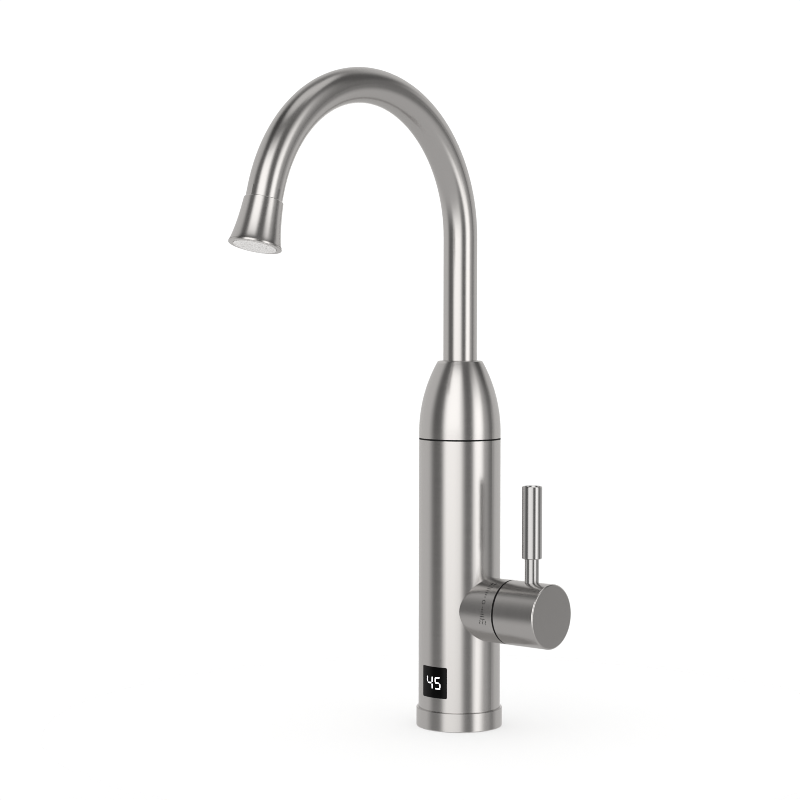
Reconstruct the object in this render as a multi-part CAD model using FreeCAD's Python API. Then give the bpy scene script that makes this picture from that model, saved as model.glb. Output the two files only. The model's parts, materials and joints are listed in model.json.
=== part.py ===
import FreeCAD, Part
import math
import os

os.makedirs("parts", exist_ok=True)
V = FreeCAD.Vector

# ------------------------------------------------------------------ driving dimensions, mm
# frame: origin at the middle of the base underside, +Z up, spout towards -Y, valve along +X
R_BODY = 27.1            # body tube, outside radius
T_BODY = 1.0             # body tube wall
R_BASE = 28.5            # base ring, outside radius
H_BASE = 12.6            # base ring height
Z_SEAM0, Z_SEAM1 = 190.74, 191.74    # black seam between body and dome
R_DOME_ARC = 96.5        # dome meridian radius
Z_DOME_ARC = 195.3       # height where the dome starts to curve in
Z_DOME_TOP = 243.0       # flat top of the dome
R_TUBE, R_TUBE_IN = 11.15, 9.8       # spout tube
Z_ARC = 323.61           # end of the straight leg
R_ARC = 93.29            # centreline radius of the swan neck
SWEEP = 164.5            # swan neck sweep, degrees
S_BELL0, S_BELL1 = 6.46, 35.27       # bell start and mouth, along the tube after the arc
S_TUBE_END = 14.5        # tube end inside the bell
BELL_PROFILE = [(0.0, 11.99), (4.12, 12.27), (8.23, 12.61), (12.35, 13.05), (16.46, 13.59),
                (20.58, 14.28), (24.70, 15.13), (26.40, 15.60), (27.42, 15.98)]
Z_VALVE = 79.53          # valve axis height
R_VALVE = 21.1           # sleeve and hub outside radius
X_SLEEVE = 43.37         # sleeve end
X_HUB0, X_HUB1 = 44.71, 76.7          # hub start and end face
X_LEVER = 60.33          # lever axis
R_STEM = 4.59            # lever stem radius
R_GRIP = 6.53            # lever grip radius
Z_GRIP0, Z_GRIP1 = 115.9, 162.9     # lever grip bottom and top
W_WINDOW = 10.22         # display window, half width
Z_WIN0, Z_WIN1 = 21.68, 42.27        # display window, bottom and top
R_INLET = 9.3            # inlet thread, inside radius
L_INLET = 14.4           # inlet thread length
GLAND_X = -18.0          # cable gland centre
R_GLAND = 3.2            # cable gland hole
R_PILLAR_PCD = 19.0      # standoff circle
PILLAR_AZ = (35.0, 145.0, 215.0, 325.0)
PISTON_TRAVEL = 4.0      # flow piston travel


# ------------------------------------------------------------------ helpers
def cyl(r, z0, z1, x=0.0, y=0.0):
    return Part.makeCylinder(r, z1 - z0, V(x, y, z0))


def ring(ro, ri, z0, z1, x=0.0, y=0.0):
    return cyl(ro, z0, z1, x, y).cut(cyl(ri, z0 - 1, z1 + 1, x, y))


def cylx(r, x0, x1, y=0.0, z=Z_VALVE):
    return Part.makeCylinder(r, x1 - x0, V(x0, y, z), V(1, 0, 0))


def cyly(r, y0, y1, x, z):
    return Part.makeCylinder(r, y1 - y0, V(x, y0, z), V(0, 1, 0))


def ringx(ro, ri, x0, x1):
    return cylx(ro, x0, x1).cut(cylx(ri, x0 - 1, x1 + 1))


def box(x0, x1, y0, y1, z0, z1):
    return Part.makeBox(x1 - x0, y1 - y0, z1 - z0, V(x0, y0, z0))


def profile_face(items):
    """closed (r, z) outline; an item is a point, or ("arc", mid, end), or ("spline", points)"""
    edges, last, first = [], None, None
    for it in items:
        if it[0] == "arc":
            m, e = it[1], it[2]
            edges.append(Part.Arc(V(last[0], 0, last[1]), V(m[0], 0, m[1]), V(e[0], 0, e[1])).toShape())
            last = e
        elif it[0] == "spline":
            pts = [V(last[0], 0, last[1])] + [V(p[0], 0, p[1]) for p in it[1]]
            c = Part.BSplineCurve()
            c.interpolate(pts)
            edges.append(c.toShape())
            last = it[1][-1]
        else:
            if last is None:
                first = it
            else:
                edges.append(Part.makeLine(V(last[0], 0, last[1]), V(it[0], 0, it[1])))
            last = it
    if math.hypot(last[0] - first[0], last[1] - first[1]) > 1e-6:
        edges.append(Part.makeLine(V(last[0], 0, last[1]), V(first[0], 0, first[1])))
    return Part.Face(Part.Wire(edges))


def turned(items):
    return profile_face(items).revolve(V(0, 0, 0), V(0, 0, 1), 360)


def turned_x(items):
    """(r, x) outline turned about the valve axis"""
    s = turned(items)
    s.rotate(V(0, 0, 0), V(0, 1, 0), 90)
    s.translate(V(0, 0, Z_VALVE))
    return s


def torus(rmaj, rmin, z, x=0.0, y=0.0):
    return Part.makeTorus(rmaj, rmin, V(x, y, z), V(0, 0, 1))


def hexagon(af, z0, z1, x=0.0, y=0.0):
    pts = [V(x + af / math.sqrt(3) * math.cos(math.radians(60 * i)),
             y + af / math.sqrt(3) * math.sin(math.radians(60 * i)), z0) for i in range(7)]
    return Part.Face(Part.makePolygon(pts)).extrude(V(0, 0, z1 - z0))


def at(pcd, az):
    return pcd * math.cos(math.radians(az)), pcd * math.sin(math.radians(az))


def lead(points, r, bend):
    """insulated wire along points, with an arc of that bend radius at each corner, or the largest for which there is room"""
    p = [V(*q) for q in points]
    edges, start = [], p[0]
    for i in range(1, len(p) - 1):
        u, w = (p[i] - p[i - 1]).normalize(), (p[i + 1] - p[i]).normalize()
        half = u.getAngle(w) / 2.0
        before = (p[i] - p[i - 1]).Length * (0.9 if i == 1 else 0.48)
        after = (p[i + 1] - p[i]).Length * (0.9 if i == len(p) - 2 else 0.48)
        t = min(bend * math.tan(half), before, after)
        inward = (w - u).normalize()
        radius = t / math.tan(half)
        mid = p[i] + inward * (radius / math.cos(half) - radius)
        edges.append(Part.makeLine(start, p[i] - u * t))
        edges.append(Part.Arc(p[i] - u * t, mid, p[i] + w * t).toShape())
        start = p[i] + w * t
    edges.append(Part.makeLine(start, p[-1]))
    section = Part.Wire(Part.makeCircle(r, p[0], p[1] - p[0]))
    return Part.Wire(edges).makePipeShell([section], True, False)


def coil(r, pitch, height, wire_r, z0):
    h = Part.makeHelix(pitch, height, r)
    c = Part.Wire(Part.makeCircle(wire_r, V(r, 0, 0), V(0, 2 * math.pi * r, pitch)))
    s = Part.Wire(h.Edges).makePipeShell([c], True, True)
    s.translate(V(0, 0, z0))
    return s


def window_block(grow, y0=-30.0, y1=-15.0, rad=1.0):
    b = box(-W_WINDOW - grow, W_WINDOW + grow, y0, y1, Z_WIN0 - grow, Z_WIN1 + grow)
    along_y = [e for e in b.Edges
               if abs(e.Vertexes[0].Point.y - e.Vertexes[1].Point.y) > 1.0]
    return b.makeFillet(rad + max(grow, -0.5), along_y)


def save(name, shape):
    if isinstance(shape, (list, tuple)):
        shape = Part.makeCompound(list(shape))
    for s in shape.Solids:
        if s.Volume <= 0 or not s.isValid():
            print("BAD", name, s.Volume)
    shape.exportStep("parts/" + name + ".step")


PILLARS = [at(R_PILLAR_PCD, a) for a in PILLAR_AZ]
STACK_HOLES = Part.makeCompound([cyl(1.7, -5, 80, x, y) for x, y in PILLARS])

# ------------------------------------------------------------------ base
base_ring = turned([(22.5, 0.0), (R_BASE - 0.6, 0.0), ("arc", (R_BASE - 0.176, 0.176), (R_BASE, 0.6)),
                    (R_BASE, H_BASE - 0.35), ("arc", (R_BASE - 0.103, H_BASE - 0.103), (R_BASE - 0.35, H_BASE)),
                    (R_BODY + 0.06, H_BASE), (R_BODY + 0.06, 3.0), (22.5, 3.0)])
base_ring = base_ring.cut(ring(26.8, 24.0, -0.5, 1.5))
save("base_ring", base_ring)
save("deck_gasket", ring(26.75, 24.05, 0.0, 1.45))

base_plate = cyl(25.9, 3.05, 8.0).cut(cyl(11.75, 0, 20)).cut(cyl(4.3, 0, 20, GLAND_X)).cut(STACK_HOLES)
save("base_plate", base_plate)

inlet_nipple = cyl(11.6, 0.8, 18.0).fuse(cyl(12.4, 8.05, 10.5))
inlet_nipple = inlet_nipple.cut(cyl(R_INLET, 0.0, 0.8 + L_INLET)).cut(cyl(7.5, 15.0, 16.4)).cut(cyl(5.5, 16, 20))
save("inlet_nipple", inlet_nipple)
inlet_nut = hexagon(25.4, 0.9, 3.0).common(cyl(13.7, 0, 5)).cut(cyl(11.65, 0, 5))
save("inlet_nut", inlet_nut)
filter_holes = [cyl(0.55, 15, 17)]
for n, rr in ((6, 2.2), (12, 4.3)):
    filter_holes += [cyl(0.55, 15, 17, *at(rr, 360.0 * i / n)) for i in range(n)]
save("inlet_filter", cyl(7.4, 15.35, 16.3).cut(Part.makeCompound(filter_holes)))

cable_gland = cyl(4.2, 3.1, 11.0, GLAND_X).fuse(cyl(5.2, 8.05, 9.6, GLAND_X)).cut(cyl(R_GLAND, 0, 20, GLAND_X))
save("cable_gland", cable_gland)

screws = []
for x, y in PILLARS:
    s = cyl(2.7, 1.2, 3.0, x, y).fuse(cyl(1.5, 3.0, 14.0, x, y)).cut(hexagon(2.5, 1.0, 2.3, x, y))
    screws.append(s)
save("base_screws", screws)
save("standoffs", [cyl(2.9, 8.05, 59.95, x, y).cut(cyl(1.55, 7, 14.2, x, y)).cut(cyl(1.55, 54.0, 61, x, y))
                   for x, y in PILLARS])
inner_screws = [cyl(2.7, 63.05, 65.0, x, y).fuse(cyl(1.5, 54.2, 63.05, x, y)).cut(hexagon(2.5, 64.0, 65.5, x, y))
                for x, y in PILLARS]

# ------------------------------------------------------------------ body and display
body_shell = ring(R_BODY, R_BODY - T_BODY, 3.05, Z_SEAM0)
body_shell = body_shell.cut(window_block(0.0)).cut(cylx(12.6, 15.0, 30.0))
save("body_shell", body_shell)

lens = ring(R_BODY - 0.05, 25.0, 10, 60).common(window_block(-0.06))
lens_flange = ring(25.4, 24.2, 10, 60).common(window_block(1.3))
save("display_lens", lens.fuse(lens_flange))
save("lens_gasket", ring(25.95, 25.45, 10, 60).common(window_block(1.3)).cut(window_block(0.15)))
module = box(-9.0, 9.0, -21.9, -16.4, 24.0, 39.5)
save("display_module", module)
save("circuit_boards", [box(-12.0, 12.0, -16.35, -14.8, 18.0, 46.0), box(-15.0, 15.0, 17.0, 18.6, 14.0, 58.0)])
save("board_parts", [box(-9.0, 3.0, 9.5, 16.95, 30.0, 46.0), cyl(3.2, 20.0, 33.0, 8.0, 12.6),
                     box(-10.0, 0.0, 13.5, 16.95, 48.0, 57.0), box(4.5, 12.0, 15.4, 16.95, 38.0, 46.0),
                     box(-11.0, 11.0, 18.65, 21.5, 16.0, 24.0), box(8.05, 10.5, -2.0, 2.0, 30.0, 44.0)])
block = box(-21.0, -13.0, -6.0, 5.0, 24.0, 34.0)
for yy in (-3.0, 2.5):
    block = block.cut(cyl(1.6, 30.0, 36.0, -19.0, yy))
save("terminal_block", block)

# ------------------------------------------------------------------ flow switch
flow_body = cyl(8.0, 18.05, 51.95).cut(cyl(6.0, 26.0, 53)).cut(cyl(4.5, 17, 27))
save("flow_switch_body", flow_body)
save("flow_switch_cap", cyl(8.0, 52.0, 59.95).cut(cyl(4.0, 50, 61)).cut(cyl(5.0, 51, 52.15)))
piston = cyl(5.93, 26.05, 36.0).cut(cyl(3.0, 30.0, 37))
for i in range(4):
    x, y = at(5.9, 90.0 * i + 45)
    piston = piston.cut(cyl(1.0, 25, 37, x, y))
save("flow_piston", [piston, cyl(2.95, 30.05, 35.8)])
save("flow_spring", coil(4.3, 2.55, 15.3, 0.35, 36.4))

# ------------------------------------------------------------------ manifold and heater
manifold = cyl(12.5, 60.0, 92.0).fuse(cyl(9.0, 91.0, 98.0)).fuse(cyl(22.0, 60.0, 63.0)).fuse(cylx(12.0, 0.0, 26.9))
manifold = manifold.cut(cyl(4.5, 59, 75.5)).cut(cyl(4.5, 83.5, 99)).cut(cyl(6.1, 93.9, 99))
manifold = manifold.cut(cylx(8.1, 17.9, 28)).cut(STACK_HOLES)
for dz in (-4.6, 4.6):
    manifold = manifold.cut(cylx(2.6, 0.0, 19.0, 0, Z_VALVE + dz))
manifold = manifold.cut(cylx(1.7, -14, -5.4, 0, 70.0))
save("manifold", manifold)
inner_screws.append(cylx(3.2, -14.7, -12.6, 0, 70.0).fuse(cylx(1.6, -12.6, -5.6, 0, 70.0)))

tank = cyl(19.5, 100.0, 178.0).cut(cyl(18.3, 102.0, 179)).fuse(ring(21.0, 18.3, 176.0, 178.0)).fuse(cyl(6.0, 94.0, 101.0))
tank = tank.cut(cyl(4.5, 90, 103))
save("heater_tank", tank)
lid = cyl(21.0, 178.05, 182.0).fuse(ring(18.2, 16.6, 173.0, 178.1)).fuse(cyl(8.5, 181.0, 196.2))
lid = lid.cut(cyl(5.5, 170, 200)).cut(ring(19.0, 16.9, 174.6, 176.6).cut(ring(30, 18.9, 170, 180)))
PIN_A, PIN_B, PROBE = (-11.0, 0.0), (15.1, 0.0), (0.0, 15.1)
lid = lid.cut(cyl(1.65, 170, 190, *PIN_A)).cut(cyl(1.35, 170, 190, *PIN_B)).cut(cyl(1.25, 170, 190, *PROBE))
save("tank_lid", lid)
save("tank_o_ring", torus(17.55, 0.6, 175.6))
clamp = turned([(19.9, 174.6), (22.6, 174.6), (22.6, 183.4), (19.9, 183.4), (19.9, 182.05),
                (21.05, 182.05), (21.05, 175.95), (19.9, 175.95)])
clamp = clamp.cut(box(-1.2, 1.2, 15, 30, 170, 190))
save("tank_clamp", clamp)
save("heating_coil", coil(11.0, 7.5, 56.25, 2.6, 108.0))
save("heater_terminals", [cyl(1.6, 167.6, 189.0, *PIN_A), cyl(1.3, 108.0, 189.0, *PIN_B)])
save("thermal_cutout", cyly(5.0, -23.2, -19.6, 0.0, 140.0).fuse(box(-1.2, 1.2, -23.2, -20.2, 144.0, 150.0)))
save("temp_probe", cyl(1.2, 150.0, 183.0, *PROBE).fuse(cyl(2.6, 182.05, 186.0, *PROBE)))
wire_a = lead([(-19.0, -3.0, 30.1), (-19.0, -3.0, 46.0), (-24.1, -3.0, 56.0), (-24.1, -3.0, 187.5), (-12.61, -0.37, 187.5)], 0.9, 4.5)
wire_b = lead([(-19.0, 2.5, 30.1), (-19.0, 2.5, 46.0), (-24.1, 2.5, 56.0), (-24.1, 2.5, 187.5), (-14.5, 12.0, 187.5),
               (-3.4, 18.6, 187.5), (8.0, 16.5, 187.5), (14.57, 1.24, 187.5)], 0.9, 4.5)
save("heater_leads", [wire_a, wire_b])

# ------------------------------------------------------------------ dome and swivel
save("seam_ring", ring(R_BODY - 0.08, 25.4, Z_SEAM0 + 0.05, Z_SEAM1 - 0.05))
carrier = ring(25.9, 22.7, 184.0, Z_SEAM0 - 0.05).fuse(ring(25.3, 14.5, 189.4, 191.95)).fuse(ring(25.3, 23.2, 191.0, 199.0))
carrier = carrier.cut(box(-30, -18, -5.2, 9.5, 180, 189.0))
SOCKET_SCREWS = [at(18.0, a) for a in (45, 135, 225, 315)]
for x, y in SOCKET_SCREWS:
    carrier = carrier.cut(cyl(1.55, 180, 200, x, y))
save("dome_carrier", carrier)


def dome_r(z, off=0.0):
    d = max(z - Z_DOME_ARC, 0.0)
    return R_BODY - R_DOME_ARC + math.sqrt((R_DOME_ARC - off) ** 2 - d * d)


ZC = Z_DOME_TOP - 0.85
RC = dome_r(ZC)
outer_mid = (Z_DOME_ARC + ZC) / 2
T_DOME = 1.6
ZI = 237.0
inner_mid = (Z_DOME_ARC + ZI) / 2
dome = turned([(R_BODY - T_DOME, Z_SEAM1), (R_BODY - 0.15, Z_SEAM1), (R_BODY, Z_SEAM1 + 0.15), (R_BODY, Z_DOME_ARC),
               ("arc", (dome_r(outer_mid), outer_mid), (RC, ZC)),
               ("arc", (RC - 0.32, Z_DOME_TOP - 0.47), (RC - 0.85, Z_DOME_TOP - 0.28)),
               (11.85, Z_DOME_TOP), (11.5, Z_DOME_TOP - 0.35), (11.5, 241.9), (13.3, 241.9), (13.3, 237.9),
               (dome_r(ZI, T_DOME), ZI),
               ("arc", (dome_r(inner_mid, T_DOME), inner_mid), (R_BODY - T_DOME, Z_DOME_ARC))])
save("dome_cover", dome)
save("spout_bearing", ring(13.2, R_TUBE + 0.06, 230.0, 241.8))
socket = cyl(13.0, 192.0, 222.5).fuse(cyl(21.0, 192.0, 195.0))
socket = socket.cut(cyl(8.6, 190, 196.5)).cut(cyl(10.6, 196.4, 200.0)).cut(cyl(9.05, 199, 230))
for x, y in SOCKET_SCREWS:
    socket = socket.cut(cyl(1.7, 180, 200, x, y))
save("swivel_socket", socket)
inner_screws += [cyl(2.6, 195.05, 197.0, x, y).fuse(cyl(1.5, 189.5, 195.1, x, y)) for x, y in SOCKET_SCREWS]
save("inner_screws", inner_screws)
save("slip_washer", ring(12.8, 9.35, 222.52, 222.95))

# ------------------------------------------------------------------ spout
shank = cyl(9.0, 197.5, 224.0).fuse(cyl(10.9, 223.0, 225.95)).fuse(cyl(9.75, 225.5, 246.0))
for z0, z1, r in ((198.4, 199.6, 8.2), (205.0, 207.4, 7.55), (212.0, 214.4, 7.55)):
    shank = shank.cut(ring(12.0, r, z0, z1))
shank = shank.cut(cyl(5.5, 190, 250))
save("spout_shank", shank)
save("spout_o_rings", [torus(8.3, 0.69, 206.2), torus(8.3, 0.69, 213.2)])
save("spout_circlip", ring(10.2, 8.3, 198.5, 199.5).cut(box(5, 15, -3.0, 3.0, 190, 205)))

ARC_C = V(0, -R_ARC, Z_ARC)
SW = math.radians(SWEEP)
ARC_END = V(0, -R_ARC + R_ARC * math.cos(SW), Z_ARC + R_ARC * math.sin(SW))
TAN = V(0, -math.sin(SW), math.cos(SW))


def neck(r, z0, tail):
    leg = cyl(r, z0, Z_ARC)
    bend = Part.Face(Part.Wire(Part.makeCircle(r, V(0, 0, Z_ARC), V(0, 0, 1)))).revolve(ARC_C, V(1, 0, 0), SWEEP)
    end = Part.makeCylinder(r, tail, ARC_END, TAN)
    return leg.fuse([bend, end])


spout_tube = neck(R_TUBE, 226.0, S_TUBE_END).cut(neck(R_TUBE_IN, 225.0, S_TUBE_END + 1.0))
save("spout_tube", spout_tube)

NOZ = FreeCAD.Placement(ARC_END, FreeCAD.Rotation(V(0, 0, 1), TAN))


def on_nozzle(shape):
    shape = shape.copy()
    shape.Placement = NOZ
    return shape


R_LIP, S_LIP = 16.15, 34.16          # straight lip after a fine groove
bell = turned([(R_TUBE + 0.06, S_BELL0), (BELL_PROFILE[0][1] - 0.4, S_BELL0), (BELL_PROFILE[0][1], S_BELL0 + 0.4),
               ("spline", [(r, S_BELL0 + s) for s, r in BELL_PROFILE[1:]]),
               (15.66, S_LIP - 0.25), (15.66, S_LIP - 0.03), (R_LIP - 0.04, S_LIP), (R_LIP, S_LIP + 0.06), (R_LIP, S_BELL1 - 0.35),
               ("arc", (R_LIP - 0.10, S_BELL1 - 0.10), (R_LIP - 0.35, S_BELL1)),
               (13.4, S_BELL1), (13.2, S_BELL1 - 0.2), (13.2, 27.0), (11.6, 20.0), (11.6, 16.2),
               (9.9, 16.2), (9.9, 14.6), (R_TUBE + 0.06, 14.6)])
save("nozzle_bell", on_nozzle(bell))
save("aerator_washer", on_nozzle(ring(11.5, 8.5, 16.25, 18.2)))
screen_holes = [cyl(0.7, 17, 20)]
for n, rr in ((6, 2.6), (12, 5.2), (18, 7.8)):
    screen_holes += [cyl(0.7, 17, 20, *at(rr, 360.0 * i / n)) for i in range(n)]
save("aerator_screen", on_nozzle(cyl(11.4, 18.25, 18.75).cut(Part.makeCompound(screen_holes))))
save("aerator_cage", on_nozzle(turned([(9.6, 18.8), (11.4, 18.8), (11.4, 20.1), (13.1, 27.3), (13.1, 32.3),
                                       (11.9, 32.3), (11.9, 27.4), (9.6, 21.0)])))
face_holes = [cyl(0.6, 30, 37)]
for n, rr in ((6, 3.9), (12, 7.5), (16, 11.0)):
    face_holes += [cyl(0.6, 30, 37, *at(rr, 360.0 * i / n + 7.5)) for i in range(n)]
face = turned([(0.0, 32.65), (13.0, 32.65), (13.0, 35.3), ("arc", (12.83, 35.66), (12.45, 35.8)), ("arc", (6.3, 35.99), (0.0, 36.05))])
save("aerator_face", on_nozzle(face.cut(Part.makeCompound(face_holes))))

# ------------------------------------------------------------------ valve, fixed side
seat = cylx(18.9, 27.3, 37.5).fuse(cylx(14.5, 37.0, 44.0)).fuse(cylx(8.0, 18.0, 28.0)).cut(cylx(12.6, 31.0, 45.0))
for dz in (-4.6, 4.6):
    seat = seat.cut(cylx(2.6, 17.0, 32.0, 0, Z_VALVE + dz))
save("valve_seat", seat)
sleeve = turned_x([(19.3, 10.0), (R_VALVE, 10.0), (R_VALVE, X_SLEEVE - 0.15), (R_VALVE - 0.15, X_SLEEVE),
                   (17.6, X_SLEEVE), (17.6, 41.5), (19.3, 41.5)])
sleeve = sleeve.cut(cyl(R_BODY + 0.03, 40, 120))
sleeve = max(sleeve.Solids, key=lambda s: s.Volume)
save("valve_sleeve", sleeve)


def ports(r, x0, x1):
    return Part.makeCompound([cylx(r, x0, x1, 0, Z_VALVE - 4.6), cylx(r, x0, x1, 0, Z_VALVE + 4.6)])


save("cartridge_seal", cylx(10.3, 31.05, 32.1).cut(ports(2.8, 30, 33)))
save("fixed_disc", cylx(10.4, 32.15, 35.15).cut(ports(2.6, 31, 37)))
save("cartridge_housing", cylx(12.5, 31.1, 44.0).cut(cylx(10.5, 30, 42.1)).cut(cylx(5.06, 40, 46)))
nut = cylx(17.2, 38.0, 44.0).fuse(cylx(18.5, X_SLEEVE + 0.05, 46.0)).cut(cylx(14.6, 37, 44.1)).cut(cylx(7.0, 40, 50))
save("cartridge_nut", nut)
save("hub_gap_ring", ringx(R_VALVE - 0.08, 18.8, X_SLEEVE + 0.05, X_HUB0 - 0.2))

# ------------------------------------------------------------------ lever side
moving = cylx(10.4, 35.2, 38.2).cut(Part.makeCompound([cylx(2.2, 34, 37.2, -4.6), cylx(2.2, 34, 37.2, 4.6)]))
save("moving_disc", moving)
spindle = cylx(10.3, 38.25, 41.9).fuse(cylx(5.0, 41.0, 63.0))
spindle = spindle.cut(box(56.0, 64.0, -6, 6, Z_VALVE - 6.0, Z_VALVE - 4.2))
save("cartridge_spindle", spindle)

R_EDGE = 0.95            # rounded outer edge of the hub
hub = turned_x([(19.0, X_HUB0), (R_VALVE - 0.2, X_HUB0), (R_VALVE, X_HUB0 + 0.2), (R_VALVE, X_HUB1 - R_EDGE),
                ("arc", (R_VALVE - 0.293 * R_EDGE, X_HUB1 - 0.293 * R_EDGE), (R_VALVE - R_EDGE, X_HUB1)), (0.0, X_HUB1), (0.0, 63.3), (5.03, 63.3), (5.03, 50.0), (9.0, 50.0),
                (9.0, 71.5), (19.0, 71.5)])
hub = hub.cut(cyl(3.05, Z_VALVE + 15, Z_VALVE + 25, X_LEVER)).cut(cyl(2.6, Z_VALVE - 25, Z_VALVE - 15, X_LEVER))
hub = hub.cut(cyl(2.05, Z_VALVE - 15, Z_VALVE - 4, X_LEVER))
save("lever_hub", hub)
save("hub_grub_screw", cyl(2.0, Z_VALVE - 9.6, Z_VALVE - 4.3, X_LEVER).cut(hexagon(2.0, Z_VALVE - 10, Z_VALVE - 7.6, X_LEVER)))
stem = cyl(R_STEM, Z_VALVE + 15, Z_GRIP0 - 0.03, X_LEVER).cut(cylx(R_VALVE + 0.03, 40, 80))
stem = stem.fuse(cyl(3.0, Z_VALVE + 19.1, 128.0, X_LEVER))
save("lever_stem", stem)
grip = cyl(R_GRIP, Z_GRIP0, Z_GRIP1, X_LEVER)
rims = [e for e in grip.Edges if len(e.Vertexes) == 1]
top = [e for e in rims if abs(e.Vertexes[0].Point.z - Z_GRIP1) < 0.01]
bottom = [e for e in rims if abs(e.Vertexes[0].Point.z - Z_GRIP0) < 0.01]
grip = grip.makeChamfer(0.35, top)
rims = [e for e in grip.Edges if len(e.Vertexes) == 1 and abs(e.Vertexes[0].Point.z - Z_GRIP0) < 0.01]
grip = grip.makeChamfer(0.4, rims)
grip = grip.cut(cyl(3.05, Z_GRIP0 - 1, 128.3, X_LEVER))
dish = turned([(0.0, Z_GRIP1 - 1.8), (4.9, Z_GRIP1 - 1.8), (5.62, Z_GRIP1 - 0.12), (5.74, Z_GRIP1), (5.74, Z_GRIP1 + 1), (0.0, Z_GRIP1 + 1)])
dish.translate(V(X_LEVER, 0, 0))
grip = grip.cut(dish)
save("lever_grip", grip)
print("nodes", len(os.listdir("parts")))
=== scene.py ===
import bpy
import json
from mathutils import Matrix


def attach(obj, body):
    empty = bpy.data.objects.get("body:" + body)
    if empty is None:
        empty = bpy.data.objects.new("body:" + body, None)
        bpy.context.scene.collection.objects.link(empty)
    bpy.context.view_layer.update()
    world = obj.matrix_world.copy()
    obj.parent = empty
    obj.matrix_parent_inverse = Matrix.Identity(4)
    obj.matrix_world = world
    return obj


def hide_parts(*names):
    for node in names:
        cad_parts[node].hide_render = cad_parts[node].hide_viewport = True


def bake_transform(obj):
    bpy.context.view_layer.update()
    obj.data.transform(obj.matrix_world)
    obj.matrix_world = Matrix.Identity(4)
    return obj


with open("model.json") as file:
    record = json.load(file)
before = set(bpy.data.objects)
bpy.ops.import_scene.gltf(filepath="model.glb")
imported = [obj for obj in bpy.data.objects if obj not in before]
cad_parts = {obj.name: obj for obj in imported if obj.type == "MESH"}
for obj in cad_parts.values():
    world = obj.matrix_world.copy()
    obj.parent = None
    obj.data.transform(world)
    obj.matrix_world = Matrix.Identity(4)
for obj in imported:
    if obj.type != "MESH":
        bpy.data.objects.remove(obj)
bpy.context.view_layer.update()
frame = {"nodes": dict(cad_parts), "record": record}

import bpy
import bmesh
import json
import math
from mathutils import Vector

scene = bpy.context.scene
scene.view_settings.view_transform = "Standard"
scene.view_settings.look = "None"
scene.view_settings.exposure = 0.0
scene.view_settings.gamma = 1.0
scene.cycles.filter_width = 1.0

# ------------------------------------------------------------------ dimensions, metres
MM = 0.001
Z_VALVE = 79.53 * MM
R_VALVE = 21.1 * MM
R_LENS = 27.05 * MM
X_LEVER = 60.33 * MM
R_ARC, Z_ARC = 93.29 * MM, 323.61 * MM
SWEEP = math.radians(164.5)

# ------------------------------------------------------------------ camera
cam_data = bpy.data.cameras.new("camera")
cam_data.sensor_fit = "HORIZONTAL"
cam_data.sensor_width = 36.0
cam_data.lens = 2167.59 * 36.0 / 800.0
cam_data.clip_start = 0.02
cam_data.clip_end = 50.0
cam = bpy.data.objects.new("camera", cam_data)
scene.collection.objects.link(cam)
cam.location = (0.907654, -1.110911, 0.284869)
cam.rotation_euler = (math.radians(87.2746), math.radians(-0.08), math.radians(40.8408))
scene.camera = cam


# ------------------------------------------------------------------ node helpers
class Nodes:
    def __init__(self, tree):
        self.t = tree
        self.n = tree.nodes
        self.l = tree.links

    def add(self, kind, **props):
        node = self.n.new(kind)
        for k, v in props.items():
            setattr(node, k, v)
        return node

    def link(self, a, b):
        self.l.new(a, b)

    def math(self, op, a, b=None, c=None, clamp=False):
        m = self.add("ShaderNodeMath", operation=op, use_clamp=clamp)
        for i, v in enumerate((a, b, c)):
            if v is None:
                continue
            if isinstance(v, (int, float)):
                m.inputs[i].default_value = v
            else:
                self.link(v, m.inputs[i])
        return m.outputs[0]

    def combine(self, x, y, z):
        c = self.add("ShaderNodeCombineXYZ")
        for i, v in enumerate((x, y, z)):
            if isinstance(v, (int, float)):
                c.inputs[i].default_value = v
            else:
                self.link(v, c.inputs[i])
        return c.outputs[0]

    def noise(self, vec, scale, detail=2.0, rough=0.5):
        t = self.add("ShaderNodeTexNoise")
        t.noise_dimensions = "3D"
        t.inputs["Scale"].default_value = scale
        t.inputs["Detail"].default_value = detail
        t.inputs["Roughness"].default_value = rough
        self.link(vec, t.inputs["Vector"])
        return t.outputs["Fac"]

    def remap(self, v, lo, hi, a=0.0, b=1.0):
        m = self.add("ShaderNodeMapRange")
        m.clamp = True
        self.link(v, m.inputs["Value"])
        m.inputs["From Min"].default_value = a
        m.inputs["From Max"].default_value = b
        m.inputs["To Min"].default_value = lo
        m.inputs["To Max"].default_value = hi
        return m.outputs["Result"]

    def mix_rgb(self, fac, a, b):
        m = self.add("ShaderNodeMix", data_type="RGBA")
        if isinstance(fac, (int, float)):
            m.inputs[0].default_value = fac
        else:
            self.link(fac, m.inputs[0])
        for sock, v in ((m.inputs[6], a), (m.inputs[7], b)):
            if isinstance(v, (tuple, list)):
                sock.default_value = (*v[:3], 1.0)
            else:
                self.link(v, sock)
        return m.outputs[2]


def new_material(name):
    m = bpy.data.materials.new(name)
    m.use_nodes = True
    k = Nodes(m.node_tree)
    return m, k, m.node_tree.nodes["Principled BSDF"]


def object_xyz(k):
    tc = k.add("ShaderNodeTexCoord")
    sep = k.add("ShaderNodeSeparateXYZ")
    k.link(tc.outputs["Object"], sep.inputs[0])
    return tc.outputs["Object"], sep.outputs[0], sep.outputs[1], sep.outputs[2]


def ring_coords(k, a, b, along, turn=1.4, lines=2600.0):
    """grain that runs round an axis: a, b are the offsets from it, along is the height on it"""
    r = k.math("SQRT", k.math("ADD", k.math("MULTIPLY", a, a), k.math("ADD", k.math("MULTIPLY", b, b), 1e-9)))
    return k.combine(k.math("MULTIPLY", k.math("DIVIDE", a, r), turn),
                     k.math("MULTIPLY", k.math("DIVIDE", b, r), turn),
                     k.math("MULTIPLY", along, lines)), r


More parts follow.
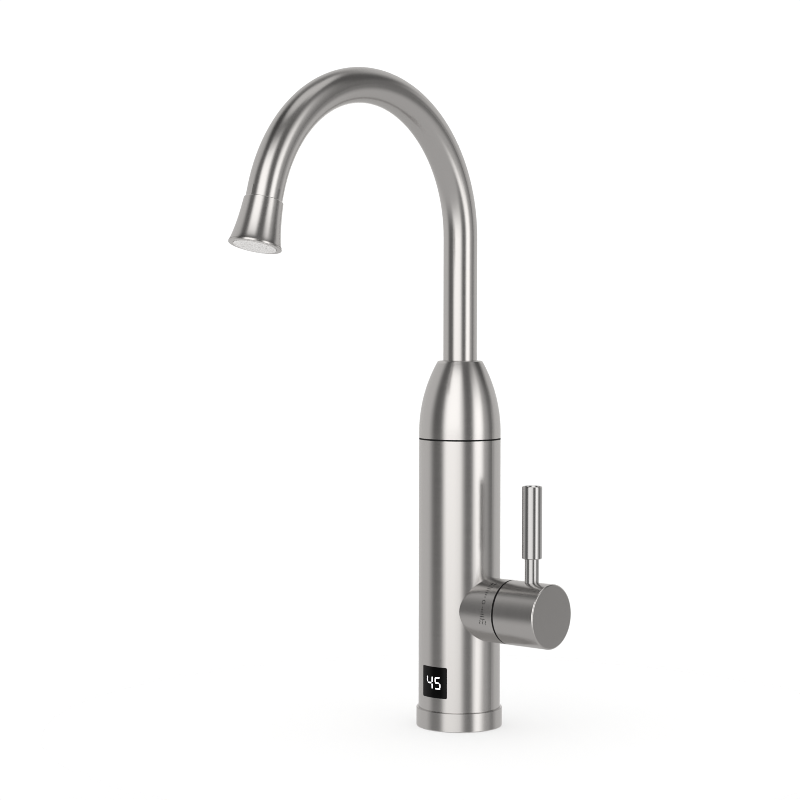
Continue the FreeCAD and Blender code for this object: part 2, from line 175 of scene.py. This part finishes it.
STEEL = (0.600, 0.588, 0.578)
# brighter tint of burnished rims, also a painted highlight
BURNISH_HIGHLIGHT_TINT = (0.77, 0.757, 0.745)
# darker tint, painted shade on the base ring's upper rim where it meets the body
SHADE_TINT = (0.47, 0.46, 0.45)


def rise(k, v, lo, hi):
    """0 below lo, 1 above hi, both in millimetres"""
    return k.remap(v, 0.0, 1.0, lo * MM, hi * MM)


def both(k, a, b):
    return k.math("MULTIPLY", a, b)


def steel(name, shape, rough=0.25, tint=STEEL, grain=1.0):
    m, k, p = new_material(name)
    vec, x, y, z = object_xyz(k)
    base_rim_shade = None
    if shape == "z":
        g, r = ring_coords(k, x, y, z)
        broad, _ = ring_coords(k, x, y, z, 0.8, 420.0)
        # painted highlight with burnished wear: brighter, smoother tint on the base ring's lower outer rim, the rim of
        # the flat top of the dome and the two sides of the black seam; the base ring's upper rim gets painted shade, a
        # darker tint
        zr, rz = k.math("ADD", z, r), k.math("SUBTRACT", r, z)
        at_base = both(k, k.math("GREATER_THAN", r, 27.3 * MM), k.math("LESS_THAN", z, 13.2 * MM))
        base = both(k, rise(k, rz, 27.6, 28.05), at_base)
        base_rim_shade = both(k, rise(k, zr, 40.5, 40.8), at_base)
        top = both(k, rise(k, zr, 256.5, 257.0), k.math("GREATER_THAN", z, 240.0 * MM))
        below = both(k, rise(k, z, 190.35, 190.7), k.math("LESS_THAN", z, 191.2 * MM))
        above = both(k, k.remap(z, 1.0, 0.0, 191.8 * MM, 192.15 * MM), k.math("GREATER_THAN", z, 191.2 * MM))
        burnish_and_highlight = k.math("MAXIMUM", k.math("MAXIMUM", base, top), k.math("MAXIMUM", below, above))
    elif shape == "lever":
        dx = k.math("SUBTRACT", x, X_LEVER)
        g, r = ring_coords(k, dx, y, z)
        broad, _ = ring_coords(k, dx, y, z, 0.8, 420.0)
        # painted highlight with burnished wear: brighter, smoother tint at both ends of the grip
        ends = k.math("MAXIMUM", rise(k, k.math("ADD", z, r), 168.7, 169.0), rise(k, k.math("SUBTRACT", r, z), -110.1, -109.82))
        burnish_and_highlight = both(k, ends, k.math("GREATER_THAN", r, 5.3 * MM))
    elif shape == "x":
        dz = k.math("SUBTRACT", z, Z_VALVE)
        # rings on the flat end, rounds on the side
        rr = k.math("SQRT", k.math("ADD", k.math("MULTIPLY", y, y), k.math("MULTIPLY", dz, dz)))
        along = k.math("ADD", x, rr)
        g, r = ring_coords(k, y, dz, along)
        broad, _ = ring_coords(k, y, dz, along, 0.8, 420.0)
        # painted highlight with burnished wear: brighter, smoother tint on the rim of the hub's end face, stronger
        # towards the top by the lever where the painted highlight sits, and on the two sides of the black gap
        rim = both(k, rise(k, along, 96.35, 96.85), k.remap(dz, 0.0, 1.0, -9.0 * MM, 6.0 * MM))
        end = both(k, rise(k, along, 64.15, 64.42), k.math("LESS_THAN", x, 44.0 * MM))
        start = both(k, rise(k, k.math("SUBTRACT", rr, x), -24.1, -23.85), k.math("GREATER_THAN", x, 44.0 * MM))
        burnish_and_highlight = k.math("MAXIMUM", rim, k.math("MAXIMUM", end, start))
    else:
        dy = k.math("ADD", y, R_ARC)
        dz = k.math("SUBTRACT", z, Z_ARC)
        th = k.math("ARCTAN2", dz, dy)
        bend = k.math("MULTIPLY", th, R_ARC)
        leg = k.math("MULTIPLY", k.math("LESS_THAN", z, Z_ARC), k.math("GREATER_THAN", y, -0.05))
        s = k.math("ADD", k.math("MULTIPLY", leg, dz), k.math("MULTIPLY", k.math("SUBTRACT", 1.0, leg), bend))
        g = k.combine(k.math("MULTIPLY", x, 90.0), k.math("MULTIPLY", s, 2600.0), 0.0)
        broad = k.combine(k.math("MULTIPLY", x, 60.0), k.math("MULTIPLY", s, 420.0), 3.0)
        # painted highlight with burnished wear: brighter, smoother tint on the lip of the bell and its upper rim; q is
        # the distance past the end of the bend
        q = k.math("ADD", k.math("MULTIPLY", k.math("SUBTRACT", y, R_ARC * (math.cos(SWEEP) - 1.0)), -math.sin(SWEEP)),
                   k.math("MULTIPLY", k.math("SUBTRACT", z, Z_ARC + R_ARC * math.sin(SWEEP)), math.cos(SWEEP)))
        step = k.remap(k.math("ABSOLUTE", k.math("SUBTRACT", q, 6.66 * MM)), 1.0, 0.0, 0.2 * MM, 0.45 * MM)
        burnish_and_highlight = both(k, k.math("MAXIMUM", rise(k, q, 34.85, 35.15), step), k.math("LESS_THAN", y, -0.15))
    fine = k.noise(g, 1.0, 3.0, 0.6)
    wide = k.noise(broad, 1.0, 2.0, 0.5)
    cloud = k.noise(vec, 26.0, 2.0, 0.5)
    mixed = k.math("ADD", k.math("MULTIPLY", fine, 0.55), k.math("ADD", k.math("MULTIPLY", wide, 0.30), k.math("MULTIPLY", cloud, 0.15)))
    # rims are burnished by handling, unevenly; their brighter tint is also a painted highlight
    burnish_and_highlight = both(k, burnish_and_highlight, k.remap(cloud, 0.35, 0.85, 0.35, 0.65))
    rough_out = k.remap(mixed, rough - 0.022 * grain, rough + 0.022 * grain, 0.30, 0.70)
    k.link(k.math("MULTIPLY", rough_out, k.remap(burnish_and_highlight, 1.0, 0.6)), p.inputs["Roughness"])
    lo = tuple(c * (1.0 - 0.014 * grain) for c in tint)
    hi = tuple(min(c * (1.0 + 0.014 * grain), 1.0) for c in tint)
    # painted highlight with burnished wear: rims mixed towards the brighter tint
    colour = k.mix_rgb(burnish_and_highlight, k.mix_rgb(k.remap(mixed, 0.0, 1.0, 0.32, 0.68), lo, hi), BURNISH_HIGHLIGHT_TINT)
    # painted shade: the base ring's upper rim mixed towards the darker tint
    if base_rim_shade is not None:
        colour = k.mix_rgb(base_rim_shade, colour, SHADE_TINT)
    k.link(colour, p.inputs["Base Color"])
    bump = k.add("ShaderNodeBump")
    bump.inputs["Strength"].default_value = 0.012 * grain
    bump.inputs["Distance"].default_value = 0.00006
    k.link(fine, bump.inputs["Height"])
    k.link(bump.outputs[0], p.inputs["Normal"])
    p.inputs["Metallic"].default_value = 1.0
    return m


def plastic(name, colour, rough=0.5, vary=0.12, grain_scale=2600.0, bump_strength=0.12, specular=0.5, through=0.0):
    m, k, p = new_material(name)
    vec, x, y, z = object_xyz(k)
    fine = k.noise(vec, grain_scale, 3.0, 0.6)
    cloud = k.noise(vec, 60.0, 3.0, 0.5)
    lo = tuple(max(c * (1.0 - vary), 0.0) for c in colour)
    hi = tuple(min(c * (1.0 + vary) + 0.002, 1.0) for c in colour)
    k.link(k.mix_rgb(k.remap(cloud, 0.0, 1.0, 0.3, 0.7), lo, hi), p.inputs["Base Color"])
    k.link(k.remap(fine, rough - 0.06, rough + 0.06, 0.3, 0.7), p.inputs["Roughness"])
    bump = k.add("ShaderNodeBump")
    bump.inputs["Strength"].default_value = bump_strength
    bump.inputs["Distance"].default_value = 0.00008
    k.link(fine, bump.inputs["Height"])
    k.link(bump.outputs[0], p.inputs["Normal"])
    p.inputs["Specular IOR Level"].default_value = specular
    if through:
        # pale resin that lets some light in
        p.inputs["Subsurface Weight"].default_value = through
        p.inputs["Subsurface Radius"].default_value = (1.0, 1.0, 1.0)
        p.inputs["Subsurface Scale"].default_value = 0.0015
    return m


def metal(name, colour, rough=0.3, vary=0.08, scale=900.0):
    m, k, p = new_material(name)
    vec, x, y, z = object_xyz(k)
    turned = k.combine(k.math("MULTIPLY", x, 40.0), k.math("MULTIPLY", y, 40.0), k.math("MULTIPLY", z, 1600.0))
    fine = k.noise(turned, 1.0, 3.0, 0.6)
    cloud = k.noise(vec, scale * 0.1, 3.0, 0.55)
    lo = tuple(c * (1.0 - vary) for c in colour)
    hi = tuple(min(c * (1.0 + vary), 1.0) for c in colour)
    k.link(k.mix_rgb(k.remap(cloud, 0.0, 1.0, 0.3, 0.7), lo, hi), p.inputs["Base Color"])
    k.link(k.remap(fine, rough - 0.07, rough + 0.07, 0.3, 0.7), p.inputs["Roughness"])
    bump = k.add("ShaderNodeBump")
    bump.inputs["Strength"].default_value = 0.08
    bump.inputs["Distance"].default_value = 0.00008
    k.link(fine, bump.inputs["Height"])
    k.link(bump.outputs[0], p.inputs["Normal"])
    p.inputs["Metallic"].default_value = 1.0
    return m


def lens_material():
    m, k, p = new_material("lens_black")
    vec, x, y, z = object_xyz(k)
    cloud = k.noise(vec, 180.0, 3.0, 0.5)
    k.link(k.mix_rgb(k.remap(cloud, 0.0, 1.0, 0.3, 0.7), (0.0012, 0.0012, 0.0013), (0.0022, 0.0021, 0.0021)), p.inputs["Base Color"])
    k.link(k.remap(cloud, 0.10, 0.16, 0.3, 0.7), p.inputs["Roughness"])
    p.inputs["Specular IOR Level"].default_value = 0.13
    return m


def glow_material():
    m, k, p = new_material("figure_light")
    vec, x, y, z = object_xyz(k)
    cloud = k.noise(vec, 900.0, 2.0, 0.5)
    col = k.mix_rgb(k.remap(cloud, 0.0, 1.0, 0.3, 0.7), (0.93, 0.95, 1.0), (1.0, 1.0, 1.0))
    k.link(col, p.inputs["Base Color"])
    k.link(col, p.inputs["Emission Color"])
    p.inputs["Emission Strength"].default_value = 1.05
    p.inputs["Roughness"].default_value = 0.4
    return m


SLOT_MATERIALS = {
    "steel_body": steel("steel_body", "z", 0.225),
    "steel_valve": steel("steel_valve", "x", 0.235, grain=0.8),
    "steel_lever": steel("steel_lever", "lever", 0.17, (0.518, 0.516, 0.514), 0.15),
    "steel_spout": steel("steel_spout", "spout", 0.225, grain=0.8),
    "black_nylon": plastic("black_nylon", (0.005, 0.005, 0.005), 0.6, specular=0.2),
    "lens_black": lens_material(),
    "black_rubber": plastic("black_rubber", (0.014, 0.014, 0.014), 0.7, bump_strength=0.2),
    "aerator_plastic": plastic("aerator_plastic", (0.78, 0.77, 0.76), 0.45, 0.04, specular=0.3, through=0.5),
    "white_acetal": plastic("white_acetal", (0.80, 0.80, 0.77), 0.45, 0.04),
    "brass": metal("brass", (0.72, 0.52, 0.24), 0.30),
    "ceramic": plastic("ceramic", (0.86, 0.84, 0.80), 0.18, 0.03),
    "hardware_steel": metal("hardware_steel", (0.58, 0.57, 0.56), 0.30),
    "heater_steel": metal("heater_steel", (0.52, 0.50, 0.48), 0.36, 0.12),
    "circuit_green": plastic("circuit_green", (0.012, 0.11, 0.035), 0.32, 0.2, 900.0),
    "component_black": plastic("component_black", (0.02, 0.02, 0.02), 0.45),
    "lead_insulation": plastic("lead_insulation", (0.34, 0.03, 0.02), 0.5),
}

NODE_MATERIALS = {"dome_cover": steel("steel_dome", "z", 0.215, grain=0.8),
                  "aerator_cage": plastic("aerator_cage_grey", (0.30, 0.30, 0.29), 0.6)}
slot_of = {s["node"]: s["material_slot"] for s in frame["record"]["subparts"]}
for name, obj in frame["nodes"].items():
    mat = NODE_MATERIALS.get(name) or SLOT_MATERIALS[slot_of[name]]
    obj.data.materials.clear()
    obj.data.materials.append(mat)
    for poly in obj.data.polygons:
        poly.material_index = 0


# ------------------------------------------------------------------ thin marks laid on a round surface
def ribbon(bm, path, width, place, lift, depth, closed=False, cols=4, round_ends=True):
    """a flat stroke of that width along path, in surface coordinates, laid on by place(u, v, lift)"""
    half = width / 2.0
    pts = [Vector(q) for q in path]
    ribs = []
    n = len(pts)
    if closed:
        for i in range(n):
            d = (pts[(i + 1) % n] - pts[i - 1]).normalized()
            ribs.append((pts[i], Vector((-d.y, d.x)), half))
    else:
        dense = []
        for a, b in zip(pts[:-1], pts[1:]):
            steps = max(2, int((b - a).length / (0.35 * MM)))
            for i in range(steps):
                dense.append(a.lerp(b, i / steps))
        dense.append(pts[-1])
        m = len(dense)
        run = [0.0]
        for a, b in zip(dense[:-1], dense[1:]):
            run.append(run[-1] + (b - a).length)
        total = run[-1]
        extra = []
        if round_ends:
            d0 = (dense[0] - dense[1]).normalized()
            d1 = (dense[-1] - dense[-2]).normalized()
            caps0 = [(dense[0] + d0 * half * math.sin(t), half * math.cos(t)) for t in (1.50, 1.2, 0.85, 0.45)]
            caps1 = [(dense[-1] + d1 * half * math.sin(t), half * math.cos(t)) for t in (0.45, 0.85, 1.2, 1.50)]
        else:
            caps0, caps1 = [], []
        seq = caps0 + [(q, half) for q in dense] + caps1
        for i, (q, h) in enumerate(seq):
            a = seq[max(i - 1, 0)][0]
            b = seq[min(i + 1, len(seq) - 1)][0]
            d = (b - a).normalized()
            ribs.append((q, Vector((-d.y, d.x)), h))
    top, low = [], []
    for q, nrm, h in ribs:
        rt, rl = [], []
        for j in range(cols + 1):
            w = q + nrm * h * (2.0 * j / cols - 1.0)
            rt.append(bm.verts.new(place(w.x, w.y, lift)))
            rl.append(bm.verts.new(place(w.x, w.y, lift - depth)))
        top.append(rt)
        low.append(rl)
    m = len(ribs)
    for i in range(m if closed else m - 1):
        a, b = i, (i + 1) % m
        for j in range(cols):
            bm.faces.new((top[a][j], top[b][j], top[b][j + 1], top[a][j + 1]))
            bm.faces.new((low[a][j + 1], low[b][j + 1], low[b][j], low[a][j]))
        bm.faces.new((top[b][0], top[a][0], low[a][0], low[b][0]))
        bm.faces.new((top[a][cols], top[b][cols], low[b][cols], low[a][cols]))
    if not closed:
        for i, flip in ((0, False), (m - 1, True)):
            for j in range(cols):
                f = (top[i][j], top[i][j + 1], low[i][j + 1], low[i][j])
                bm.faces.new(f[::-1] if flip else f)


def finish_mesh(bm, name, mat, body):
    bmesh.ops.recalc_face_normals(bm, faces=bm.faces)
    me = bpy.data.meshes.new(name)
    bm.to_mesh(me)
    bm.free()
    for f in me.polygons:
        f.use_smooth = True
    me.materials.append(mat)
    ob = bpy.data.objects.new(name, me)
    scene.collection.objects.link(ob)
    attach(ob, body)
    return ob


def on_lens(u, v, lift):
    a = u / R_LENS
    r = R_LENS + lift
    return Vector((r * math.sin(a), -r * math.cos(a), v))


# seven-segment figures, each stroke from (degrees round the body, height) to the same
STROKES = [(-11.3, 32.35, -11.3, 35.25), (-9.0, 31.45, -4.3, 31.50), (-2.0, 32.45, -1.9, 35.20), (-2.0, 30.65, -1.8, 28.20),
           (4.0, 35.12, 10.1, 35.35), (3.6, 34.55, 3.6, 32.70), (4.2, 31.80, 9.5, 31.75), (11.2, 30.85, 11.3, 29.00), (4.6, 27.95, 10.8, 28.05)]
bm = bmesh.new()
DEG = R_LENS * math.pi / 180.0
for a0, z0, a1, z1 in STROKES:
    ribbon(bm, [(a0 * DEG, z0 * MM), (a1 * DEG, z1 * MM)], 0.80 * MM, on_lens, 0.02 * MM, 0.05 * MM)
figures = finish_mesh(bm, "display_figures", glow_material(), "tap_body")

# dosing scale, etched and filled, round the valve sleeve
X_SCALE = 36.1 * MM


def on_sleeve(u, v, lift):
    """u is the angle from the top towards the front times the radius, v the place along the valve axis"""
    a = u / R_VALVE
    r = R_VALVE + lift
    return Vector((v, -r * math.sin(a), Z_VALVE + r * math.cos(a)))


VDEG = R_VALVE * math.pi / 180.0
LIFT, DEPTH = 0.015 * MM, 0.04 * MM
bm = bmesh.new()


def tick(angle, length, width=0.42):
    u = angle * VDEG
    ribbon(bm, [(u, X_SCALE - length / 2 * MM), (u, X_SCALE + length / 2 * MM)], width * MM, on_sleeve, LIFT, DEPTH, cols=3, round_ends=False)


for ang, length, width in ((36.2, 3.9, 0.5), (40.6, 2.9, 0.5), (45.2, 2.4, 0.5), (49.6, 2.0, 0.5), (53.8, 1.6, 0.5), (58.2, 1.3, 0.5),
                           (76.9, 1.1, 0.5), (81.3, 1.6, 0.5), (85.4, 2.1, 0.5), (89.4, 2.5, 0.5), (93.7, 3.0, 0.5), (98.1, 3.7, 0.5)):
    tick(ang, length, width)
ring_r = 1.22 * MM
uc = 67.7 * VDEG
ribbon(bm, [(uc + ring_r * math.cos(t * math.pi / 18), X_SCALE + ring_r * math.sin(t * math.pi / 18)) for t in range(36)],
       0.42 * MM, on_sleeve, LIFT, DEPTH, closed=True, cols=2)


def curl(u0, v0, height, amp, width):
    """one rising curl of steam"""
    pts = []
    for i in range(25):
        t = i / 24.0
        pts.append((u0 + (t - 0.5) * height, v0 + amp * math.sin(2 * math.pi * t)))
    ribbon(bm, pts, width, on_sleeve, LIFT, DEPTH, cols=2)


def drop(u0, v0, size, width):
    pts = []
    for i in range(28):
        t = 2 * math.pi * i / 28.0
        s = math.sin(t)
        c = math.cos(t)
        taper = 0.5 * (1.0 - s)
        pts.append((u0 - s * size * 1.25, v0 + c * size * (0.25 + 0.75 * taper)))
    ribbon(bm, pts, width, on_sleeve, LIFT, DEPTH, closed=True, cols=2)


for off in (-1.3, 1.3):
    drop(27.0 * VDEG, X_SCALE + (0.7 + off) * MM, 0.62 * MM, 0.50 * MM)
for off in (-2.3, 0.0, 2.3):
    curl(104.2 * VDEG, X_SCALE + off * MM, 2.5 * MM, 0.42 * MM, 0.36 * MM)
scale_ink = plastic("scale_ink", (0.006, 0.006, 0.006), 0.6, 0.2, specular=0.2)
scale_marks = finish_mesh(bm, "dosing_scale", scale_ink, "tap_body")

# ------------------------------------------------------------------ spring of the flow piston, ends closed
def wound_wire(bm, radius, wire, z0, z1, turns, dead, around=48, sides=12):
    """round wire wound from z0 to z1 (wire centre), with dead turns of close pitch at both ends"""
    close = dead * (2.0 * wire + 0.05 * MM)
    rings = []
    n = int(turns * around)
    for i in range(n + 1):
        t = turns * i / n
        if t < dead:
            z = z0 + close * t / dead
        elif t > turns - dead:
            z = z1 - close * (turns - t) / dead
        else:
            z = z0 + close + (z1 - z0 - 2.0 * close) * (t - dead) / (turns - 2.0 * dead)
        a = 2.0 * math.pi * t
        ring = []
        for j in range(sides):
            b = 2.0 * math.pi * j / sides
            r = radius + wire * math.cos(b)
            ring.append(bm.verts.new((r * math.cos(a), r * math.sin(a), z + wire * math.sin(b))))
        rings.append(ring)
    for lo, hi in zip(rings[:-1], rings[1:]):
        for j in range(sides):
            bm.faces.new((lo[j], hi[j], hi[(j + 1) % sides], lo[(j + 1) % sides]))
    bm.faces.new(rings[0][::-1])
    bm.faces.new(rings[-1])


bm = bmesh.new()
wound_wire(bm, 4.3 * MM, 0.35 * MM, 36.45 * MM, 51.58 * MM, 7.0, 1.0)
bmesh.ops.recalc_face_normals(bm, faces=bm.faces)
me = bpy.data.meshes.new("flow_spring_wound")
bm.to_mesh(me)
bm.free()
for f in me.polygons:
    f.use_smooth = True
me.materials.append(SLOT_MATERIALS["hardware_steel"])
spring = bpy.data.objects.new("flow_spring_wound", me)
scene.collection.objects.link(spring)
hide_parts("flow_spring")
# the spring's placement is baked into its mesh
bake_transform(spring)

# ------------------------------------------------------------------ floor
bm = bmesh.new()
bmesh.ops.create_circle(bm, cap_ends=True, cap_tris=False, segments=96, radius=0.62)
me = bpy.data.meshes.new("floor")
bm.to_mesh(me)
bm.free()
floor = bpy.data.objects.new("floor", me)
scene.collection.objects.link(floor)
floor.location = (0.0, 0.0, -0.0002)
m, k, p = new_material("floor")
vec, fx, fy, fz = object_xyz(k)
dist = k.math("SQRT", k.math("ADD", k.math("MULTIPLY", fx, fx), k.math("MULTIPLY", fy, fy)))
p.inputs["Base Color"].default_value = (0.97, 0.97, 0.97, 1.0)
p.inputs["Roughness"].default_value = 0.9
p.inputs["Specular IOR Level"].default_value = 0.0
clear = k.add("ShaderNodeBsdfTransparent")
mixs = k.add("ShaderNodeMixShader")
k.link(k.remap(dist, 0.50, 1.0, 0.06, 0.50), mixs.inputs[0])
k.link(p.outputs[0], mixs.inputs[1])
k.link(clear.outputs[0], mixs.inputs[2])
k.link(mixs.outputs[0], m.node_tree.nodes["Material Output"].inputs["Surface"])
me.materials.append(m)
floor.visible_glossy = False

# ------------------------------------------------------------------ studio light: soft panels all round, by direction
world = bpy.data.worlds.new("studio")
scene.world = world
world.use_nodes = True
wt = world.node_tree
wt.nodes.clear()
k = Nodes(wt)
tc = k.add("ShaderNodeTexCoord")
rot = k.add("ShaderNodeVectorRotate", rotation_type="Z_AXIS")
rot.inputs["Angle"].default_value = math.radians(50.6)
k.link(tc.outputs["Generated"], rot.inputs["Vector"])
grad = k.add("ShaderNodeTexGradient", gradient_type="RADIAL")
k.link(rot.outputs[0], grad.inputs[0])
sep = k.add("ShaderNodeSeparateXYZ")
k.link(tc.outputs["Generated"], sep.inputs[0])
up = sep.outputs[2]


az = k.math("MULTIPLY", k.math("SUBTRACT", grad.outputs["Fac"], 0.5), 360.0)


def soft_step(v, a, b):
    m = k.add("ShaderNodeMapRange", interpolation_type="SMOOTHSTEP")
    k.link(v, m.inputs["Value"])
    m.inputs["From Min"].default_value = a
    m.inputs["From Max"].default_value = b
    return m.outputs["Result"]


def fade_up(v, stops):
    ramp = k.add("ShaderNodeValToRGB")
    els = ramp.color_ramp.elements
    els[0].position, els[1].position = (stops[0][0] + 1.0) / 2.0, (stops[-1][0] + 1.0) / 2.0
    for pos, _ in stops[1:-1]:
        els.new((pos + 1.0) / 2.0)
    for e, (_, level) in zip(sorted(els, key=lambda e: e.position), stops):
        e.color = grey(level)
    k.link(k.math("MULTIPLY_ADD", v, 0.5, 0.5), ramp.inputs[0])
    return ramp.outputs[0]


def grey(v):
    return (v, v * 0.985, v * 0.972, 1.0)


def panel(env, left, right, soft_l, soft_r, top, soft_top, level, bottom=None, soft_bottom=0.1, lean=0.0):
    """one soft card or flag: edges in degrees from the camera (right is plus), top and bottom as heights of the direction,
    lean in degrees to the right per unit of height, above a little over eye level"""
    side = k.math("MULTIPLY_ADD", k.math("MAXIMUM", k.math("SUBTRACT", up, 0.12), 0.0), -lean, az) if lean else az
    mask = k.math("MULTIPLY", soft_step(side, left - soft_l, left + soft_l), k.math("SUBTRACT", 1.0, soft_step(side, right - soft_r, right + soft_r)))
    mask = k.math("MULTIPLY", mask, k.math("SUBTRACT", 1.0, soft_step(up, top - soft_top, top + soft_top)))
    if bottom is not None:
        mask = k.math("MULTIPLY", mask, soft_step(up, bottom - soft_bottom, bottom + soft_bottom))
    return k.mix_rgb(mask, env, grey(level))


# grey room with a dim ceiling
env = fade_up(up, [(-1.0, 0.68), (0.50, 0.68), (0.70, 0.58), (0.84, 0.26), (0.96, 0.12)])
env = panel(env, -87, 108, 12, 12, 0.86, 0.12, 0.13)      # black surround of the lights
env = panel(env, 90, 114, 8, 8, 0.50, 0.08, 0.16, 0.16, 0.08)      # flag, lower on the right
env = panel(env, 88, 129, 12, 16, 0.90, 0.10, 0.10, 0.40, 0.09)   # flag, high on the right
env = panel(env, 60, 89, 6, 9, 0.72, 0.16, 0.46)         # fill card, right
env = panel(env, -46, 6.5, 9, 11, 0.79, 0.12, 1.66)        # large softbox, left of the camera
env = panel(env, -36, -1, 10, 6, -0.01, 0.07, 1.53)       # net, low on the softbox
env = panel(env, -10, -1, 8, 5, -0.01, 0.07, 1.38)        # second net, towards its right edge
env = panel(env, -128, -62, 16, 12, 2.0, 0.1, 0.06, 0.74, 0.08)  # flag, high on the left
env = panel(env, 62, 160, 14, 14, 2.0, 0.1, 0.76, 0.885, 0.035)    # card overhead, to the right
env = panel(env, -400, 400, 5, 5, 2.0, 0.1, 0.78, 0.955, 0.03)     # card straight overhead
env = panel(env, 39, 67.5, 6, 7, 0.52, 0.30, 1.78, lean=14.0)          # strip light, right of the camera
env = panel(env, 166, 400, 7, 5, 0.10, 0.14, 1.5, -0.20)        # strip light behind, one half each side of straight back
env = panel(env, -400, -170, 5, 7, 0.10, 0.14, 1.5, -0.20)
env = panel(env, 59.5, 84, 6, 6, -0.19, 0.07, 0.42)       # flag, low on the right of the strip light
# pale floor below, cut off lower in front of the strip light
low = k.math("MULTIPLY", soft_step(az, 10, 34), k.math("SUBTRACT", 1.0, soft_step(az, 60, 82)))
low = k.math("MULTIPLY", low, k.math("SUBTRACT", 1.0, soft_step(up, -0.30, -0.15)))
env = k.mix_rgb(soft_step(k.math("MULTIPLY_ADD", low, 0.17, up), -0.46, -0.04), grey(0.54), env)
lp = k.add("ShaderNodeLightPath")
bg_env = k.add("ShaderNodeBackground")
k.link(env, bg_env.inputs["Color"])
bg_env.inputs["Strength"].default_value = 1.0
bg_white = k.add("ShaderNodeBackground")
bg_white.inputs["Color"].default_value = (1.0, 1.0, 1.0, 1.0)
bg_white.inputs["Strength"].default_value = 1.06
plain = k.math("MAXIMUM", lp.outputs["Is Camera Ray"], lp.outputs["Is Diffuse Ray"])
mixw = k.add("ShaderNodeMixShader")
k.link(plain, mixw.inputs[0])
k.link(bg_env.outputs[0], mixw.inputs[1])
k.link(bg_white.outputs[0], mixw.inputs[2])
out = k.add("ShaderNodeOutputWorld")
k.link(mixw.outputs[0], out.inputs["Surface"])
